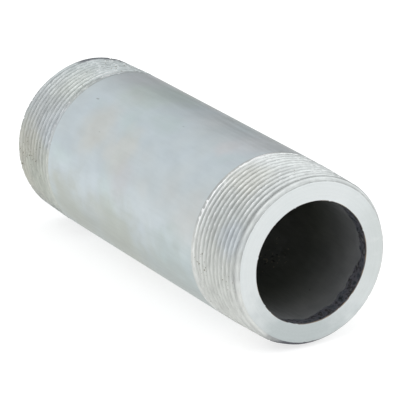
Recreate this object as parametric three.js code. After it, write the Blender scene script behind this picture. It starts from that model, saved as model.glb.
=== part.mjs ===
// A steel pipe nipple: 2 in pipe, 6 in long, heavy wall, threaded on both ends.
//
// The nipple is one length of steel pipe, with a taper pipe thread cut into its wall at each end, so the pipe
// and its threads are one solid. The dark coat on the bore is the other, and it stops short of both mouths.
//
// Units are millimetres. The pipe lies along X with +Z up, and the origin is on its axis at mid-length.

import * as THREE from "three";
import { mergeVertices } from "three/addons/utils/BufferGeometryUtils.js";

const INCH = 25.4;

// The pipe: nominal size 2, schedule 160. Its length is 6 in at the top of a tolerance of 1/16 in.
const LENGTH = 154;
const PIPE_RADIUS = (2.375 / 2) * INCH;
const WALL = 0.344 * INCH;
const BORE_RADIUS = PIPE_RADIUS - WALL;

// The thread: 2 in taper pipe thread of ISO 7-1, right-handed at both ends.
const PITCH = INCH / 11;
const TAPER = 1 / 32; // growth of the radius per unit of length
const GAUGE_LENGTH = 15.9; // from the end face to the gauge plane
const END_PITCH_RADIUS = 58.135 / 2 - GAUGE_LENGTH * TAPER;
const HALF_HEIGHT = 1.479 / 2; // from the pitch cone to the crests, and to the roots
const RUN_OUT = 4.3; // the last part of the thread, where its cones rise to the pipe's surface
const FLANK = Math.tan(THREE.MathUtils.degToRad(27.5)); // axial run of a flank per unit of depth
const ROOT_HALF = PITCH / 4 - HALF_HEIGHT * FLANK; // half the width of a groove's floor

// The ends differ a little: the one at -X has a narrower bevel and a shorter thread. A groove's centre lies
// `start` turns from the face at step 0.
const END_A = { faceRadius: 28.1, threadLength: 27.8, start: 0.59 };
const END_B = { faceRadius: 29.05, threadLength: 24.9, start: 0.43 };
const BEVEL = Math.tan(THREE.MathUtils.degToRad(45));
const MOUTH_BREAK = 0.25;

// The coat on the bore.
const COAT_THICKNESS = 0.25;
const COAT_GAP = 0.03; // keeps the coat's solid clear of the pipe's
const COAT_SETBACK = 5; // from an end face to the coat's edge

// Every round surface has this many flats, and one of them faces straight down.
const FLATS = 48;
const FLAT_ANGLE = (2 * Math.PI) / FLATS;
const SHORTEST_EDGE = 0.03; // anything narrower closes up
const SAME_POINT = 0.0001;

const STEEL = new THREE.MeshStandardMaterial({ color: 0xbfc6c8, roughness: 0.42, metalness: 0.85 });
const COAT = new THREE.MeshStandardMaterial({ color: 0x2b2b2b, roughness: 0.6, metalness: 0.1 });

// Places a point of a round surface: x along the pipe, and a step of one flat for each corner round it.
function cornerAt(x, radius, step) {
  const angle = -(step % FLATS) * FLAT_ANGLE - FLAT_ANGLE / 2;
  return new THREE.Vector3(x, radius * Math.cos(angle), radius * Math.sin(angle));
}

// The radius of a cone along the thread, given its radius at the face. It rises to the surface in the run-out.
function coneRadius(end, fromFace, atFace) {
  const full = Math.min(fromFace, end.threadLength - RUN_OUT);
  const fade = Math.min((fromFace - full) / RUN_OUT, 1);
  return THREE.MathUtils.lerp(atFace + TAPER * full, PIPE_RADIUS, fade);
}

function rootRadius(end, fromFace) {
  return coneRadius(end, fromFace, END_PITCH_RADIUS - HALF_HEIGHT);
}

// The crest cone, cut down by the bevel.
function crestRadius(end, fromFace) {
  const bevel = end.faceRadius + BEVEL * fromFace;
  return Math.min(coneRadius(end, fromFace, END_PITCH_RADIUS + HALF_HEIGHT), bevel);
}

// The threaded surface: the floor of the nearest groove, its flanks, and the crest that cuts them off.
function threadRadius(end, fromFace, step) {
  const turns = fromFace / PITCH - step / FLATS - end.start;
  const offCentre = Math.abs(turns - Math.round(turns)) * PITCH;
  const flank = rootRadius(end, fromFace) + Math.max(offCentre - ROOT_HALF, 0) / FLANK;
  return Math.min(flank, crestRadius(end, fromFace));
}

// Keeps a distance within the threaded length, and moves it to a limit that it would almost touch.
function snapToLimits(end, fromFace) {
  if (fromFace < SHORTEST_EDGE) {
    return 0;
  }
  return fromFace > end.threadLength - SHORTEST_EDGE ? end.threadLength : fromFace;
}

// Where a groove's section turns: at the edge of a crest, at both edges of the floor, and at the next crest.
function grooveTurns(end, centre) {
  const at = THREE.MathUtils.clamp(centre, 0, end.threadLength);
  const flankRun = (crestRadius(end, at) - rootRadius(end, at)) * FLANK;
  const widest = PITCH / 2 - ROOT_HALF;
  const crestHalf = flankRun < SHORTEST_EDGE ? ROOT_HALF : Math.min(ROOT_HALF + flankRun, widest);
  return [-crestHalf, -ROOT_HALF, ROOT_HALF, crestHalf].map((offset) => snapToLimits(end, centre + offset));
}

// Two triangles for the patch with these corners, which run anticlockwise as seen from outside.
function quad(a, b, c, d) {
  return [
    [a, b, c],
    [a, c, d],
  ];
}

// The threaded outside of an end at +X. Lines that would run past the face or the run-out all merge there.
function threadSurface(end) {
  const grooves = Math.ceil(end.threadLength / PITCH) + 2;
  const columns = [];
  for (let step = 0; step <= FLATS; step++) {
    const column = [];
    for (let groove = -2; groove < grooves; groove++) {
      for (const fromFace of grooveTurns(end, (groove + step / FLATS + end.start) * PITCH)) {
        column.push(cornerAt(LENGTH / 2 - fromFace, threadRadius(end, fromFace, step), step));
      }
    }
    columns.push(column);
  }
  const triangles = [];
  for (let step = 0; step < FLATS; step++) {
    const [here, next] = [columns[step], columns[step + 1]];
    for (let line = 0; line + 1 < here.length; line++) {
      triangles.push(...quad(here[line], next[line], next[line + 1], here[line + 1]));
    }
  }
  return triangles;
}

// The flat ring on an end at +X, from the thread's edge in to the mouth's.
function faceSurface(end) {
  const triangles = [];
  for (let step = 0; step < FLATS; step++) {
    const mouth = [step, step + 1].map((at) => cornerAt(LENGTH / 2, BORE_RADIUS + MOUTH_BREAK, at));
    const edge = [step, step + 1].map((at) => cornerAt(LENGTH / 2, threadRadius(end, 0, at), at));
    triangles.push(...quad(mouth[0], mouth[1], edge[1], edge[0]));
  }
  return triangles;
}

// The same surface on the end at -X, by a half turn about the vertical axis. The thread stays right-handed.
function turnedRound(triangles) {
  return triangles.map((corners) => corners.map(({ x, y, z }) => new THREE.Vector3(-x, -y, z)));
}

// The plain surfaces through a list of rings, each given as its place along the pipe and its radius.
function ringSurface(rings) {
  const triangles = [];
  for (let i = 0; i + 1 < rings.length; i++) {
    const [from, to] = [rings[i], rings[i + 1]];
    for (let step = 0; step < FLATS; step++) {
      const corners = [cornerAt(...from, step), cornerAt(...from, step + 1)];
      triangles.push(...quad(...corners, cornerAt(...to, step + 1), cornerAt(...to, step)));
    }
  }
  return triangles;
}

// One geometry from triangles: shared corners become one vertex, and triangles that collapsed are dropped.
function closedGeometry(triangles) {
  const apart = (p, q) => p.distanceTo(q) > SAME_POINT;
  const kept = triangles.filter(([a, b, c]) => apart(a, b) && apart(b, c) && apart(c, a));
  const geometry = mergeVertices(new THREE.BufferGeometry().setFromPoints(kept.flat()), SAME_POINT);
  geometry.computeVertexNormals();
  return geometry;
}

// The pipe: both ends, the barrel between them, and the bore.
function pipeWithThreads() {
  const face = LENGTH / 2;
  const endA = [...threadSurface(END_A), ...faceSurface(END_A)];
  const endB = turnedRound([...threadSurface(END_B), ...faceSurface(END_B)]);
  const barrel = ringSurface([
    [face - END_A.threadLength, PIPE_RADIUS],
    [END_B.threadLength - face, PIPE_RADIUS],
  ]);
  const bore = ringSurface([
    [-face, BORE_RADIUS + MOUTH_BREAK],
    [-face + MOUTH_BREAK, BORE_RADIUS],
    [face - MOUTH_BREAK, BORE_RADIUS],
    [face, BORE_RADIUS + MOUTH_BREAK],
  ]);
  const mesh = new THREE.Mesh(closedGeometry([...endA, ...endB, ...barrel, ...bore]), STEEL);
  mesh.name = "threaded_pipe";
  return mesh;
}

// The coat: a thin sleeve inside the bore, turned about its own axis and then laid along the pipe.
function boreCoat() {
  const outer = BORE_RADIUS - COAT_GAP;
  const inner = outer - COAT_THICKNESS;
  const half = LENGTH / 2 - COAT_SETBACK;
  const profile = [
    [inner, -half],
    [outer, -half],
    [outer, half],
    [inner, half],
    [inner, -half],
  ].map(([radius, along]) => new THREE.Vector2(radius, along));
  const mesh = new THREE.Mesh(new THREE.LatheGeometry(profile, FLATS, FLAT_ANGLE / 2), COAT);
  mesh.rotation.z = -Math.PI / 2;
  mesh.name = "bore_coat";
  return mesh;
}

const nipple = new THREE.Group();
nipple.add(pipeWithThreads(), boreCoat());

export default nipple;
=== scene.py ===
import math

import bmesh
import bpy
import numpy as np
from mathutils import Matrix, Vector


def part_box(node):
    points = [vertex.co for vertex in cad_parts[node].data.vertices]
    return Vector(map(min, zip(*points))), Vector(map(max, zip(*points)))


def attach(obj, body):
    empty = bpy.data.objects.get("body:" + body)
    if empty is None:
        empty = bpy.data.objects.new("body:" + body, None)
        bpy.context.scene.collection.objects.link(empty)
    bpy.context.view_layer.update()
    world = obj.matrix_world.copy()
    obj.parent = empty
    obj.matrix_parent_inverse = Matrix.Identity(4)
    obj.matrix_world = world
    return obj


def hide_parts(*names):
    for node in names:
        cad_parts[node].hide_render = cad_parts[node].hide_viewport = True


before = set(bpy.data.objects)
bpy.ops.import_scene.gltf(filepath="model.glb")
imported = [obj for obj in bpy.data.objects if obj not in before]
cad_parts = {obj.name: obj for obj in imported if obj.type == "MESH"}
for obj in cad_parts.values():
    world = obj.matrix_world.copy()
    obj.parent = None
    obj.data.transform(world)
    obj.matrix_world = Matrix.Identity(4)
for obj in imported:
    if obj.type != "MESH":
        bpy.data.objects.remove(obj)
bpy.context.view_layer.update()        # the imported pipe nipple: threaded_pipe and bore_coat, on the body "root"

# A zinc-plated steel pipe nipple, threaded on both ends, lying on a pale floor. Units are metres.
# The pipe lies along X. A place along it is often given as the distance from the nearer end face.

MM = 0.001
INCH = 25.4 * MM

PIPE_LOW, PIPE_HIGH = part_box("threaded_pipe")
_, COAT_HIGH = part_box("bore_coat")

# The pipe and its thread: 2 in, schedule 160, with the taper thread of ISO 7-1.
HALF_LENGTH = (PIPE_HIGH.x - PIPE_LOW.x) / 2
PIPE_RADIUS = 2.375 / 2 * INCH
BORE_RADIUS = PIPE_RADIUS - 0.344 * INCH
PITCH = INCH / 11
TAPER = 1 / 32              # growth of the radius per unit of length
GAUGE_LENGTH = 15.9 * MM    # from the end face to the gauge plane
END_PITCH_RADIUS = 58.135 / 2 * MM - GAUGE_LENGTH * TAPER
HALF_HEIGHT = 1.479 / 2 * MM
RUN_OUT = 4.3 * MM          # the last part of the thread, where its cones rise to the pipe's surface
RUN_OUT_CURVE = 2.6         # above 1, the grooves' floor stays low in the run-out and rises late
FLANK = math.tan(math.radians(27.5))
ROOT_HALF = PITCH / 4 - HALF_HEIGHT * FLANK
CREST_LIMIT = 0.49 * PITCH  # keeps a groove's two edges just clear of its neighbours'
BEVEL = math.tan(math.radians(45))

# Where the materials are in the pipe's list of them.
ON_BARREL, ON_THREAD_A, ON_THREAD_B, ON_FACE, IN_BORE = range(5)

# The ends. Side is the way an end faces along X, face its outer radius and thread how far its thread reaches.
# Start is how many turns from the face a groove's centre lies at angle 0. The rest says how rough it is: how
# unevenly the run-out ends, how far the crests stand above the standard's cone, and how torn they are.
END_A = {
    "side": 1, "face": 28.1 * MM, "thread": 27.8 * MM, "start": 0.59,
    "look": ON_THREAD_A, "seed": 11, "tear": 0.7 * MM, "proud": 0.25 * MM, "torn": 1.3,
}
END_B = {
    "side": -1, "face": 29.05 * MM, "thread": 24.9 * MM, "start": 0.43,
    "look": ON_THREAD_B, "seed": 31, "tear": 1.1 * MM, "proud": 0.32 * MM, "torn": 2.2,
}

# The lines along one groove: the flank that each is on, and how far it is up from the floor to the crest.
GROOVE_LINES = ((-1, 1), (-1, 0.65), (-1, 0.3), (-1, 0), (1, 0), (1, 0.3), (1, 0.65), (1, 1))

MOUTH_DEPTH = 0.4 * MM      # how far down the bore its broken edge reaches
COAT_GAP = 0.01 * MM        # keeps the coat clear of the bore

# The fineness of the meshes.
ROUND = 360
COAT_ROUND = 300
COAT_ROWS = 160
BARREL_ROWS = 34
SAME_POINT = 0.002 * MM

COAT_SEED = 51


# Noise on the pipe's surface

def surface_noise(seed, x, angle, along, around):
    """Smooth noise from -1 to 1 at each x and angle. A cell is `along` long and a turn over `around` wide."""
    rows = 256
    grid = np.random.default_rng(seed).uniform(-1, 1, (rows, around))
    u = (np.asarray(x) / along) % rows
    v = (np.asarray(angle) / (2 * math.pi) * around) % around
    i, j = np.floor(u).astype(int) % rows, np.floor(v).astype(int) % around
    s, t = u - np.floor(u), v - np.floor(v)
    s, t = s * s * (3 - 2 * s), t * t * (3 - 2 * t)
    i2, j2 = (i + 1) % rows, (j + 1) % around
    low = grid[i, j] * (1 - s) + grid[i2, j] * s
    high = grid[i, j2] * (1 - s) + grid[i2, j2] * s
    return low * (1 - t) + high * t


# Meshes made of lines round the pipe. A line is an array of points, one for each step round it.

def on_pipe(x, radius, angle):
    """The points at these places along the pipe, radii and angles round it, as an array of x, y, z."""
    return np.stack(np.broadcast_arrays(x, radius * np.cos(angle), radius * np.sin(angle)), -1)


def mesh_from_strips(name, strips, materials):
    """One closed mesh from strips: each has lines, the lines its last step joins back to, and a material."""
    points, faces, looks = [], [], []
    count = 0
    for lines, shift, material in strips:
        rows, steps = lines.shape[:2]
        points.append(lines.reshape(-1, 3))
        here = count + np.arange(rows * steps).reshape(rows, steps)
        after = np.roll(here, -1, axis=1)
        if shift:
            after[:-shift, -1] = here[shift:, 0]
            after[-shift:, -1] = here[-1, 0]
        quads = np.stack([here[:-1], after[:-1], after[1:], here[1:]], -1).reshape(-1, 4)
        faces.append(quads)
        looks.append(np.full(len(quads), material))
        count += rows * steps
    mesh = bpy.data.meshes.new(name)
    mesh.from_pydata(np.concatenate(points).tolist(), [], np.concatenate(faces).tolist())
    mesh.polygons.foreach_set("material_index", np.concatenate(looks).astype(np.int32))
    for material in materials:
        mesh.materials.append(material)
    weld = bmesh.new()
    weld.from_mesh(mesh)
    bmesh.ops.remove_doubles(weld, verts=weld.verts, dist=SAME_POINT)
    bmesh.ops.recalc_face_normals(weld, faces=weld.faces)
    weld.to_mesh(mesh)
    weld.free()
    mesh.shade_smooth()
    mark_grooves(mesh)
    piece = bpy.data.objects.new(name, mesh)
    bpy.context.collection.objects.link(piece)
    return piece


def mark_grooves(mesh):
    """Stores how deep each point lies in a groove, from 0 on a crest to 1 on a full groove's floor."""
    places = np.empty(len(mesh.vertices) * 3, np.float32)
    mesh.vertices.foreach_get("co", places)
    x, y, z = places.reshape(-1, 3).T
    end_a, end_b = crest_cone(END_A, HALF_LENGTH - x), crest_cone(END_B, HALF_LENGTH + x)
    depth = (np.where(x > 0, end_a, end_b) - np.hypot(y, z)) / (2 * HALF_HEIGHT)
    mesh.attributes.new("groove", "FLOAT", "POINT").data.foreach_set("value", np.clip(depth, 0, 1))


def ring_strip(rings, angles, material):
    """A strip through rings, each an x and a radius that are numbers or arrays with one value per step."""
    lines = np.array([on_pipe(x * np.ones_like(angles), radius, angles) for x, radius in rings])
    return lines, 0, material


def steps_round(count):
    return np.arange(count) / count * 2 * math.pi


# The thread

def root_cone(end, from_face, angles):
    """The grooves' floor. In the run-out it rises to the surface, sooner at some angles than others."""
    full = np.minimum(from_face, end["thread"] - RUN_OUT)
    cone = END_PITCH_RADIUS - HALF_HEIGHT + TAPER * full
    ragged = surface_noise(end["seed"] + 3, from_face, angles, PITCH, 110) + 1
    fade = np.clip((from_face - full) / (RUN_OUT - end["tear"] * ragged), 0, 1)
    return cone + (PIPE_RADIUS - cone) * fade ** RUN_OUT_CURVE


def crest_cone(end, from_face):
    """The crests' cone, cut down by the bevel. It rises to the surface in the run-out, and never above it."""
    full = np.minimum(from_face, end["thread"] - RUN_OUT)
    cone = END_PITCH_RADIUS + HALF_HEIGHT + end["proud"] + TAPER * full
    fade = np.clip((from_face - full) / RUN_OUT, 0, 1)
    bevel = end["face"] + BEVEL * from_face
    return np.minimum(np.minimum(cone + (PIPE_RADIUS - cone) * fade, PIPE_RADIUS), bevel)


def thread_radius(end, from_face, angles):
    """The threaded surface: the nearest groove's floor and flanks, and the worn crest that cuts them off."""
    turns = from_face / PITCH - angles / (2 * math.pi) - end["start"]
    off_centre = np.abs(turns - np.round(turns)) * PITCH
    flank = root_cone(end, from_face, angles) + np.maximum(off_centre - ROOT_HALF, 0) / FLANK
    return np.minimum(flank, crest_cone(end, from_face) - crest_wear(end, from_face, angles))


def crest_wear(end, from_face, angles):
    """How far the crests are worn and torn down. It is nothing at the run-out, where the barrel joins."""
    blend = 1.5 * MM
    rare = 0.6    # only the noise above this makes a tear or a chip
    inside = np.clip((end["thread"] - from_face) / blend, 0, 1)
    fine = surface_noise(end["seed"], from_face, angles, 0.7 * PITCH, 150) + 1
    torn = surface_noise(end["seed"] + 1, from_face, angles, 0.9 * PITCH, 60)
    chips = surface_noise(end["seed"] + 4, from_face, angles, 0.5 * PITCH, 230)
    damage = 0.25 * np.clip(torn - rare, 0, 1) + 0.5 * np.clip(chips - rare, 0, 1)
    return inside * (0.03 * fine + end["torn"] * damage) * MM


def thread_strip(end):
    """The thread, as lines that follow the helix. Lines past the face or the run-out all merge there."""
    angles = steps_round(ROUND)
    lines = []
    for groove in range(-2, math.ceil(end["thread"] / PITCH) + 1):
        centre = (groove + end["start"] + np.arange(ROUND) / ROUND) * PITCH
        at = np.clip(centre, 0, end["thread"])
        depth = np.maximum(crest_cone(end, at) - root_cone(end, at, angles), 0)
        crest_half = np.minimum(ROOT_HALF + depth * FLANK, CREST_LIMIT)
        for side, climb in GROOVE_LINES:
            offset = side * (ROOT_HALF + (crest_half - ROOT_HALF) * climb)
            from_face = np.clip(centre + offset, 0, end["thread"])
            lines.append(on_pipe(HALF_LENGTH - from_face, thread_radius(end, from_face, angles), -angles))
    return turned_to(end, np.array(lines)), len(GROOVE_LINES), end["look"]


def turned_to(end, lines):
    """Lines made for the end at +X, brought to this end by a half turn about the vertical axis if need be."""
    return lines * np.array([end["side"], end["side"], 1])


def mouth_edge(end):
    """The radius of the mouth's edge at each step: nearly round, with a few burrs that stand inwards."""
    angles = steps_round(ROUND)
    wander = surface_noise(end["seed"] + 2, 0, angles, 1, 40)
    burrs = np.clip(surface_noise(end["seed"] + 5, 0, angles, 1, 120) - 0.7, 0, 1)
    return BORE_RADIUS + (0.22 + 0.05 * wander - 0.9 * burrs) * MM


def face_strip(end):
    """An end face, from the thread's edge in to the mouth's."""
    edge = thread_radius(end, np.zeros(ROUND), steps_round(ROUND))
    mouth = mouth_edge(end)
    rings = [(0, edge + (mouth - edge) * inward) for inward in (0, 0.03, 0.5, 0.97, 1)]
    return end_rings(end, rings, ON_FACE)


def mouth_strip(end):
    """The broken edge of the mouth, a little way down the bore."""
    rounding = (0.12 * MM, BORE_RADIUS + 0.06 * MM)
    return end_rings(end, [(0, mouth_edge(end)), rounding, (MOUTH_DEPTH, BORE_RADIUS)], IN_BORE)


def end_rings(end, rings, material):
    """A strip through rings of this end, each given as its distance from the face and its radius."""
    angles = steps_round(ROUND)
    lines = [on_pipe(HALF_LENGTH - depth, radius * np.ones(ROUND), -angles) for depth, radius in rings]
    return turned_to(end, np.array(lines)), 0, material


def make_pipe(materials):
    """The steel pipe: both ends, the barrel between them and the bore, in one closed mesh."""
    angles = -steps_round(ROUND)
    places = np.linspace(HALF_LENGTH - END_A["thread"], END_B["thread"] - HALF_LENGTH, BARREL_ROWS)
    barrel = ring_strip([(x, PIPE_RADIUS) for x in places], angles, ON_BARREL)
    ends = [make(end) for end in (END_A, END_B) for make in (thread_strip, face_strip, mouth_strip)]
    return mesh_from_strips("threaded_pipe_steel", [barrel, *ends, bore_strip(angles)], materials)


def bore_strip(angles):
    """The bore between the mouths, in rings that lie closer together towards each mouth."""
    ends = HALF_LENGTH - MOUTH_DEPTH
    rows = [ends, ends - 1 * MM, ends - 3 * MM, ends - 8 * MM, 0.3 * ends]
    rings = [(x, BORE_RADIUS) for x in [*rows, *(-x for x in reversed(rows))]]
    return ring_strip(rings, angles, IN_BORE)


# The coat on the bore

def make_coat(material):
    """The dark coat: a thin skin in the bore, with a ragged edge a few millimetres inside each mouth."""
    angles = steps_round(COAT_ROUND)
    outer = BORE_RADIUS - COAT_GAP
    near, far = ragged_edge(COAT_SEED, angles), -ragged_edge(COAT_SEED + 10, angles)
    rings = [(far, outer)]
    for t in np.linspace(0, 1, COAT_ROWS):
        x = far + (near - far) * t
        rings.append((x, outer - coat_thickness(x, angles, np.minimum(near - x, x - far))))
    rings.append((near, outer))
    rings.append(rings[0])
    coat = mesh_from_strips("bore_coat_skin", [ring_strip(rings, angles, 0)], [material])
    coat.data.set_sharp_from_angle(angle=math.radians(60))
    return coat


def coat_thickness(x, angles, from_edge):
    """Thin at its edges, a little uneven, with scattered flakes and some clusters of them."""
    feather = np.clip(from_edge / (1.2 * MM), 0.08, 1)
    swell = 0.07 + 0.04 * surface_noise(COAT_SEED + 20, x, angles, 4 * MM, 36)
    flakes = np.clip(surface_noise(COAT_SEED + 21, x, angles, 1.1 * MM, 130) - 0.35, 0, 1)
    clusters = np.clip(surface_noise(COAT_SEED + 22, x, angles, 11 * MM, 9) - 0.45, 0, 1)
    return feather * (swell + 1.2 * flakes * clusters) * MM


def ragged_edge(seed, angles):
    """How far from the middle the coat reaches, at each angle."""
    wander = 1.3 * surface_noise(seed, 0, angles, 1, 9) + 0.9 * surface_noise(seed + 1, 0, angles, 1, 31)
    torn = 0.6 * surface_noise(seed + 2, 0, angles, 1, 83) + 0.3 * surface_noise(seed + 3, 0, angles, 1, 140)
    return COAT_HIGH.x + (wander + torn) * MM


# Materials

BEIGE = (0.62, 0.605, 0.555)
PINKISH = (0.61, 0.595, 0.60)
LAVENDER = (0.54, 0.56, 0.66)
GREENISH = (0.53, 0.60, 0.55)
BLUE_GREEN = (0.48, 0.59, 0.59)
OLIVE = (0.49, 0.51, 0.455)
# Painted shade, for the barrel's bottom.
BOTTOM_SHADE = (0.49, 0.53, 0.515)
# Painted shade, warm-tinted, for the barrel's upper edge.
WARM_EDGE_SHADE = (0.50, 0.505, 0.485)
PALE = (0.66, 0.675, 0.68)
CREAM = (0.72, 0.73, 0.705)
YELLOWISH = (0.64, 0.635, 0.58)
KHAKI = (0.61, 0.635, 0.59)
BLUISH = (0.68, 0.72, 0.77)
# Painted shade, near black.
DARK_SHADE = (0.10, 0.10, 0.12)


def node(tree, kind, inputs=(), **settings):
    """A shader node. Inputs is a dict of values and of the sockets that feed it."""
    made = tree.nodes.new("ShaderNode" + kind)
    for name, value in settings.items():
        setattr(made, name, value)
    for name, value in dict(inputs).items():
        if isinstance(value, bpy.types.NodeSocket):
            tree.links.new(value, made.inputs[name])
        else:
            made.inputs[name].default_value = value
    return made


def sum_of(tree, first, second, kind="ADD"):
    return node(tree, "Math", {0: first, 1: second}, operation=kind).outputs[0]


def ramp(tree, factor, stops):
    """A colour ramp with a list of places and colours."""
    made = node(tree, "ValToRGB", {"Fac": factor})
    stack = made.color_ramp.elements
    while len(stack) < len(stops):
        stack.new(0.5)
    for element, (place, colour) in zip(stack, stops):
        element.position = place
        element.color = (*colour, 1) if isinstance(colour, tuple) else (colour, colour, colour, 1)
    return made.outputs["Color"]


def noise(tree, scale, detail=2, stretch=(1, 1, 1), roughness=0.5, offset=(0, 0, 0)):
    """Noise fixed to the pipe, with its cells a metre over scale across, divided by stretch."""
    place = node(tree, "TexCoord").outputs["Object"]
    mapped = node(tree, "Mapping", {"Vector": place, "Scale": stretch, "Location": offset}).outputs[0]
    inputs = {"Vector": mapped, "Scale": scale, "Detail": detail, "Roughness": roughness}
    return node(tree, "TexNoise", inputs).outputs["Fac"]


def mix(tree, factor, first, second, blend="MIX"):
    made = node(tree, "Mix", {0: factor, 6: first, 7: second}, data_type="RGBA", blend_type=blend)
    return made.outputs[2]


def grey(value):
    return (value, value, value, 1)


def new_material(name):
    made = bpy.data.materials.new(name)
    made.use_nodes = True
    tree = made.node_tree
    return made, tree, tree.nodes["Principled BSDF"]


def on_side(from_face, height, radius=PIPE_RADIUS):
    """A point on the pipe: its distance from the face at +X, and its degrees above level on the -Y side."""
    turn = math.radians(height)
    return HALF_LENGTH - from_face, -radius * math.cos(turn), radius * math.sin(turn)


def wandering(tree):
    """Two sockets for spots: the place on the pipe, and a smooth random offset from -1/2 to 1/2 each way."""
    place = node(tree, "TexCoord").outputs["Object"]
    wander = node(tree, "TexNoise", {"Vector": place, "Scale": 130, "Detail": 3}).outputs["Color"]
    return place, node(tree, "VectorMath", {0: wander, 1: (0.5, 0.5, 0.5)}, operation="SUBTRACT").outputs[0]


def spot(tree, place, wander, centre, reach, strength=1):
    """A soft spot with a wandering outline: this strength at its centre, and nothing beyond its reach."""
    inputs = {0: wander, 1: (0.9 * reach,) * 3, 2: place}
    moved = node(tree, "VectorMath", inputs, operation="MULTIPLY_ADD").outputs[0]
    apart = node(tree, "VectorMath", {0: moved, 1: centre}, operation="DISTANCE").outputs["Value"]
    inputs = {"Value": apart, "From Min": 0.25 * reach, "From Max": reach, "To Min": strength, "To Max": 0}
    return node(tree, "MapRange", inputs, interpolation_type="SMOOTHSTEP").outputs[0]


def patched(tree, colour, patches):
    """The colour with soft patches on it, each a place on the pipe, a reach, a colour and a strength."""
    place, wander = wandering(tree)
    for centre, reach, tint, strength in patches:
        colour = mix(tree, spot(tree, place, wander, centre, reach, strength), colour, (*tint, 1))
    return colour


def speckled(tree, colour, scale, speck_colour, fewest, clusters):
    """The colour with sparse small specks on it. They crowd in clusters, each a place and a reach."""
    place, wander = wandering(tree)
    level = fewest
    for centre, reach in clusters:
        level = sum_of(tree, level, spot(tree, place, wander, centre, reach, 0.13), "SUBTRACT")
    specks = sum_of(tree, noise(tree, scale, 1, (0.6, 1, 1)), level, "SUBTRACT")
    inputs = {"Value": specks, "From Min": 0, "From Max": 0.04}
    return mix(tree, node(tree, "MapRange", inputs).outputs[0], colour, (*speck_colour, 1))


def along_ends(tree, start, end):
    """A factor that rises from 0 to 1 between two distances from the nearer end face."""
    along = node(tree, "SeparateXYZ", {0: node(tree, "TexCoord").outputs["Object"]}).outputs["X"]
    inside = sum_of(tree, HALF_LENGTH, sum_of(tree, along, 0, "ABSOLUTE"), "SUBTRACT")
    return node(tree, "MapRange", {"Value": inside, "From Min": start, "From Max": end}).outputs[0]


def finish_surface(tree, surface, colour, roughness, height, strength, distance):
    tree.links.new(colour, surface.inputs["Base Color"])
    tree.links.new(roughness, surface.inputs["Roughness"])
    bump = node(tree, "Bump", {"Height": height, "Strength": strength, "Distance": distance})
    tree.links.new(bump.outputs[0], surface.inputs["Normal"])


def zinc(name):
    """A new material for zinc plate. Its inputs that are the same all over are set here."""
    made, tree, surface = new_material(name)
    surface.inputs["Metallic"].default_value = 1
    surface.inputs["Specular Tint"].default_value = grey(0.8)
    return made, tree, surface


def plated_barrel():
    """Bright zinc on the drawn pipe: soft patches of colour, a fine grain and faint lengthwise streaks."""
    made, tree, surface = zinc("zinc_on_barrel")
    drift = ramp(tree, noise(tree, 38, 2, (0.8, 1, 1)), [
        (0.30, (0.545, 0.62, 0.62)),
        (0.45, (0.565, 0.62, 0.65)),
        (0.60, (0.575, 0.62, 0.635)),
        (0.74, (0.60, 0.61, 0.60)),
    ])
    patches = patched(tree, drift, [
        (on_side(86 * MM, 36), 13 * MM, BEIGE, 0.55),
        (on_side(106 * MM, 42), 15 * MM, BEIGE, 0.5),
        (on_side(79 * MM, 19), 10 * MM, PINKISH, 0.5),
        (on_side(35 * MM, 90), 16 * MM, LAVENDER, 0.35),
        (on_side(42 * MM, 75), 7 * MM, PINKISH, 0.6),
        (on_side(101 * MM, 95), 22 * MM, GREENISH, 0.5),
        (on_side(40 * MM, -22), 22 * MM, BLUE_GREEN, 0.5),
        # Painted shade: the barrel darker towards the bottom.
        *((on_side(x * MM, height), 34 * MM, BOTTOM_SHADE, 0.9) for x in (42, 77, 112) for height in (-45, -90)),
        (on_side(84 * MM, -26), 24 * MM, OLIVE, 0.6),
        (on_side(117 * MM, -24), 20 * MM, OLIVE, 0.6),
        (on_side(122 * MM, 112), 20 * MM, PINKISH, 0.5),
        (on_side(36 * MM, 102), 22 * MM, PALE, 0.75),
        (on_side(66 * MM, 102), 18 * MM, PALE, 0.45),
        # A warm tint with painted shade: a darker band along the barrel's upper edge.
        *((on_side(x * MM, 130), 15 * MM, WARM_EDGE_SHADE, 0.95) for x in (38, 54, 70, 86, 102, 118)),
        (on_side(60 * MM, 150), 30 * MM, BLUE_GREEN, 0.5),
        (on_side(100 * MM, 190), 26 * MM, BEIGE, 0.5),
        (on_side(50 * MM, 215), 24 * MM, LAVENDER, 0.5),
        (on_side(95 * MM, 260), 30 * MM, OLIVE, 0.6),
    ])
    blotches = ramp(tree, noise(tree, 190, 4, (0.6, 1, 1)), [(0.32, 0.93), (0.68, 1.0)])
    clean = mix(tree, 1, patches, blotches, "MULTIPLY")
    nicks = ramp(tree, noise(tree, 500, 1, (0.35, 1, 1), offset=(0.31, 0, 0)), [(0.785, 0), (0.82, 0.7)])
    colour = mix(tree, nicks, clean, (0.3, 0.31, 0.31, 1))
    streaks = noise(tree, 900, 3, (0.04, 1, 1))
    roughness = ramp(tree, streaks, [(0.3, 0.36), (0.7, 0.46)])
    height = sum_of(tree, sum_of(tree, streaks, noise(tree, 2600, 2)), nicks, "SUBTRACT")
    finish_surface(tree, surface, colour, roughness, height, 0.12, 0.05 * MM)
    return made


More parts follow.
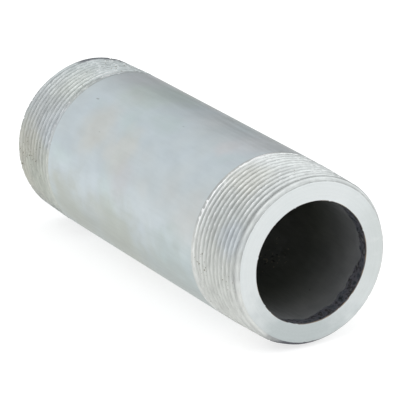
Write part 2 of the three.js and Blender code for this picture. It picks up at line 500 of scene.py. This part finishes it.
def plated_thread(name, clean, shades, patches, specks, highlight_spots, matt):
    """Zinc on a cut thread: painted shade by groove depth, cutter marks round the pipe, painted highlights on the
    crests, and stains.
    """
    made, tree, surface = zinc(name)
    drift = ramp(tree, noise(tree, 110, 3), [(0.35, tuple(0.93 * part for part in clean)), (0.6, clean)])
    groove = node(tree, "Attribute", attribute_name="groove").outputs["Fac"]
    # Painted shade by groove depth: darker on the crest flats and deep in the grooves.
    grooved = mix(tree, 1, drift, ramp(tree, groove, shades), "MULTIPLY")
    # Painted highlights: broken bright lines along the crests, brighter still in the highlight spots.
    glints = ramp(tree, noise(tree, 1300, 2, (1, 0.4, 0.4)), [(0.5, 0), (0.62, 0.9)])
    place, wander = wandering(tree)
    for centre, reach in highlight_spots:
        glints = sum_of(tree, glints, spot(tree, place, wander, centre, reach, 0.8))
    crests = ramp(tree, groove, [(0.012, 0.0), (0.03, 1.0), (0.1, 1.0), (0.18, 0.0)])
    clear_of_bevel = along_ends(tree, 3 * MM, 4.5 * MM)
    crests = mix(tree, 1, mix(tree, 1, glints, crests, "MULTIPLY"), clear_of_bevel, "MULTIPLY")
    # The painted highlights go on in near white, then the stains and the painted shade patches on top.
    stains_and_painted_light = patched(tree, mix(tree, crests, grooved, grey(0.95)), patches)
    cuts = noise(tree, 1700, 3, (1, 0.13, 0.13), 0.6)
    marked = mix(tree, 1, stains_and_painted_light, ramp(tree, cuts, [(0.32, 0.84), (0.6, 1.0)]), "MULTIPLY")
    colour = speckled(tree, marked, 1400, (0.25, 0.23, 0.18), 0.78, specks)
    roughness = ramp(tree, noise(tree, 700, 2), [(0.3, 0.38), (0.7, 0.54)])
    for centre, reach in matt:
        roughness = mix(tree, spot(tree, place, wander, centre, reach), roughness, grey(0.74))
    finish_surface(tree, surface, colour, roughness, cuts, 0.35, 0.08 * MM)
    return made


def near_thread():
    """The thread at +X: whitish, creamy low on the photo's side, with painted shade under the bevel."""
    matt_spots = ((14, -60), (14, -18), (9, 20))
    return plated_thread(
        "zinc_on_thread_a",
        clean=(0.71, 0.73, 0.72),
        shades=[(0.01, 0.72), (0.03, 0.88), (0.3, 1.0), (0.6, 0.82)],
        patches=[
            (on_side(15 * MM, -22), 32 * MM, CREAM, 0.95),
            (on_side(7 * MM, 22), 10 * MM, BLUISH, 0.5),
            (on_side(18 * MM, 62), 13 * MM, YELLOWISH, 0.5),
            (on_side(12 * MM, 200), 26 * MM, YELLOWISH, 0.5),
            # Painted shade under the bevel, low on the near end.
            (on_side(1 * MM, -80), 17 * MM, DARK_SHADE, 0.95),
        ],
        specks=[(on_side(6 * MM, -8), 7 * MM), (on_side(22 * MM, -4), 7 * MM)],
        # Painted highlights on the crests of the run-out.
        highlight_spots=[(on_side(26.5 * MM, height), 6 * MM) for height in range(5, 90, 10)],
        matt=[(on_side(from_face * MM, height), 22 * MM) for from_face, height in matt_spots],
    )


def far_thread():
    """The thread at -X: duller and yellower, with painted shade along its top rim."""
    return plated_thread(
        "zinc_on_thread_b",
        clean=(0.555, 0.59, 0.59),
        shades=[(0.02, 0.86), (0.3, 1.0), (0.6, 0.88)],
        patches=[
            (on_side(146 * MM, -8), 28 * MM, YELLOWISH, 0.9),
            (on_side(134 * MM, 28), 14 * MM, BLUISH, 0.4),
            (on_side(144 * MM, 38), 19 * MM, PALE, 0.7),
            (on_side(132 * MM, -20), 22 * MM, KHAKI, 0.8),
            (on_side(138 * MM, 60), 14 * MM, KHAKI, 0.5),
            (on_side(140 * MM, 170), 26 * MM, BLUISH, 0.6),
            # Painted shade along the top rim of the far end.
            *((on_side(153.6 * MM, height), 5 * MM, DARK_SHADE, 0.7) for height in range(86, 134, 6)),
        ],
        specks=[(on_side(146 * MM, 0), 16 * MM), (on_side(140 * MM, 100), 14 * MM)],
        # Painted highlights on crests high on this thread.
        highlight_spots=[(on_side(131 * MM, 84), 7 * MM), (on_side(136 * MM, 66), 7 * MM)],
        matt=[(on_side(144 * MM, height), 22 * MM) for height in (-50, -10, 26)],
    )


def plated_face():
    """Zinc on the faced ends: nearly white, with faint rings from the tool and a few darker patches: painted
    shade low and to the right on the near face, and a darker patch on the far face.
    """
    made, tree, surface = zinc("zinc_on_face")
    drift = ramp(tree, noise(tree, 60, 2), [(0.35, (0.64, 0.67, 0.67)), (0.65, (0.67, 0.695, 0.695))])
    bottom, right = -60, 180
    # Painted shade low and to the right on the near face; the last patch darkens the far face.
    darker_patches = patched(tree, drift, [
        (on_side(0, bottom - 20), 34 * MM, (0.46, 0.50, 0.50), 0.9),
        (on_side(0, right), 26 * MM, (0.56, 0.59, 0.58), 0.7),
        (on_side(2 * HALF_LENGTH, 30), 30 * MM, (0.52, 0.56, 0.56), 0.7),
    ])
    across = node(tree, "SeparateXYZ", {0: node(tree, "TexCoord").outputs["Object"]}).outputs
    from_axis = sum_of(tree, sum_of(tree, across["Y"], 2, "POWER"), sum_of(tree, across["Z"], 2, "POWER"))
    from_axis = sum_of(tree, from_axis, 0.5, "POWER")
    inputs = {"W": from_axis, "Scale": 2600, "Detail": 2}
    rings = node(tree, "TexNoise", inputs, noise_dimensions="1D").outputs["Fac"]
    marked = mix(tree, 1, darker_patches, ramp(tree, rings, [(0.3, 0.95), (0.7, 1.0)]), "MULTIPLY")
    scuffs = ramp(tree, noise(tree, 420, 3, (1, 0.3, 1)), [(0.6, 0), (0.75, 0.14)])
    colour = mix(tree, scuffs, marked, grey(0.8))
    grain = noise(tree, 1400, 3)
    roughness = ramp(tree, grain, [(0.3, 0.40), (0.7, 0.5)])
    finish_surface(tree, surface, colour, roughness, sum_of(tree, grain, rings), 0.12, 0.05 * MM)
    return made


def stained_mouth():
    """Steel just inside the mouth, where the plating gives out: bluish, violet and brown, and fairly dark."""
    made, tree, surface = new_material("stained_mouth_steel")
    surface.inputs["Metallic"].default_value = 0.8
    stain = ramp(tree, noise(tree, 400, 5), [
        (0.30, (0.03, 0.033, 0.04)),
        (0.42, (0.17, 0.19, 0.22)),
        (0.50, (0.27, 0.265, 0.31)),
        (0.58, (0.08, 0.078, 0.085)),
        (0.70, (0.33, 0.33, 0.34)),
    ])
    clear_of_rim = along_ends(tree, 0.1 * MM, 0.6 * MM)
    rust = ramp(tree, noise(tree, 300, 2), [(0.4, (0.13, 0.12, 0.12)), (0.6, (0.27, 0.21, 0.15))])
    colour = mix(tree, clear_of_rim, rust, stain)
    grain = noise(tree, 1200, 3)
    roughness = ramp(tree, grain, [(0.3, 0.38), (0.7, 0.6)])
    finish_surface(tree, surface, colour, roughness, grain, 0.4, 0.1 * MM)
    return made


def dark_coat():
    """The dark coat on the bore: matt, with painted shade that darkens it deep inside and leaves it lighter
    towards the mouths, and with streaks and specks of rust.
    """
    made, tree, surface = new_material("dark_bore_coat")
    surface.inputs["Specular IOR Level"].default_value = 0.35
    cloud = noise(tree, 90, 3, (0.5, 1, 1))
    deep = ramp(tree, cloud, [(0.35, (0.056, 0.061, 0.051)), (0.65, (0.086, 0.089, 0.074))])
    light = ramp(tree, noise(tree, 160, 3), [(0.35, (0.115, 0.118, 0.121)), (0.65, (0.143, 0.145, 0.148))])
    # Painted shade: the coat darker deep in the bore, lighter towards the mouths.
    base = mix(tree, along_ends(tree, 3 * MM, 32 * MM), light, deep)
    rusty = [(on_side(47 * MM, -134, BORE_RADIUS), 11 * MM), (on_side(24 * MM, -60, BORE_RADIUS), 7 * MM)]
    speckled_base = speckled(tree, base, 1000, (0.17, 0.16, 0.11), 0.77, rusty)
    colour = speckled(tree, speckled_base, 700, (0.008, 0.008, 0.008), 0.78, rusty)
    grain = noise(tree, 900, 3, (0.15, 1, 1))
    roughness = ramp(tree, grain, [(0.3, 0.5), (0.7, 0.7)])
    finish_surface(tree, surface, colour, roughness, grain, 0.3, 0.1 * MM)
    return made


# The stage

# Where the sky is brighter or darker: a direction, how close to it that starts and ends, and by how much.
SKY = [
    (Vector((-0.81, 0.585, 0)).normalized(), 0.75, 1.06, -0.66),
    (Vector((0.65, 0.55, 0.5)).normalized(), 0.65, 0.97, 0.45),
]


def make_floor(level):
    """A white floor that the pipe rests on. It glows a little, like a light table, so shadows stay faint."""
    bpy.ops.mesh.primitive_circle_add(vertices=96, radius=1, fill_type="NGON", location=(0, 0, level))
    floor = bpy.context.object
    floor.name = "floor"
    made, tree, surface = new_material("white_floor")
    surface.inputs["Base Color"].default_value = grey(0.42)
    surface.inputs["Roughness"].default_value = 0.9
    surface.inputs["Specular IOR Level"].default_value = 0
    surface.inputs["Emission Color"].default_value = grey(1)
    surface.inputs["Emission Strength"].default_value = 0.7
    floor.data.materials.append(made)


def make_sky():
    """Even light from all sides. It falls off behind the pipe, and is brighter right of its near end."""
    world = bpy.data.worlds.new("studio")
    bpy.context.scene.world = world
    world.use_nodes = True
    tree = world.node_tree
    direction = node(tree, "TexCoord").outputs["Generated"]
    strength = 1
    for toward, widest, narrowest, gain in SKY:
        dot = node(tree, "VectorMath", {0: direction, 1: toward}, operation="DOT_PRODUCT")
        closeness = dot.outputs["Value"]
        inputs = {"Value": closeness, "From Min": widest, "From Max": narrowest, "To Min": 0, "To Max": gain}
        lobe = node(tree, "MapRange", inputs, interpolation_type="SMOOTHSTEP").outputs[0]
        strength = sum_of(tree, strength, lobe)
    tree.nodes["Background"].inputs["Color"].default_value = (0.97, 0.99, 1, 1)
    tree.links.new(strength, tree.nodes["Background"].inputs["Strength"])


def make_softbox(name, direction, distance, size, power):
    """A square area light that faces the pipe from this direction."""
    light = bpy.data.lights.new(name, "AREA")
    light.size = size
    light.energy = power
    lamp = bpy.data.objects.new(name, light)
    lamp.location = Vector(direction).normalized() * distance
    lamp.rotation_mode = "QUATERNION"
    lamp.rotation_quaternion = Vector(direction).to_track_quat("Z", "Y")
    bpy.context.collection.objects.link(lamp)


def make_camera():
    """A long lens that looks down at the pipe from beyond its end at +X."""
    azimuth, elevation = math.radians(59.53), math.radians(19.86)
    distance = 1.162
    back = Vector((
        math.sin(azimuth) * math.cos(elevation),
        -math.cos(azimuth) * math.cos(elevation),
        math.sin(elevation),
    ))
    aim = Vector((4.1, -0.1, -0.6)) * MM
    camera = bpy.data.objects.new("camera", bpy.data.cameras.new("camera"))
    camera.data.sensor_width = 36
    camera.data.lens = 299.5
    camera.location = aim + back * distance
    camera.rotation_mode = "QUATERNION"
    camera.rotation_quaternion = (-back).to_track_quat("-Z", "Y")
    bpy.context.collection.objects.link(camera)
    bpy.context.scene.camera = camera


# The scene

make_camera()
bpy.context.scene.view_settings.view_transform = "Standard"

pipe = make_pipe([plated_barrel(), near_thread(), far_thread(), plated_face(), stained_mouth()])
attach(pipe, "root")
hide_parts("threaded_pipe")

coat = make_coat(dark_coat())
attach(coat, "root")
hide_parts("bore_coat")

make_floor(-PIPE_RADIUS)
make_sky()
make_softbox("key", direction=(0.5, -0.5, 0.9), distance=1.6, size=0.6, power=2)
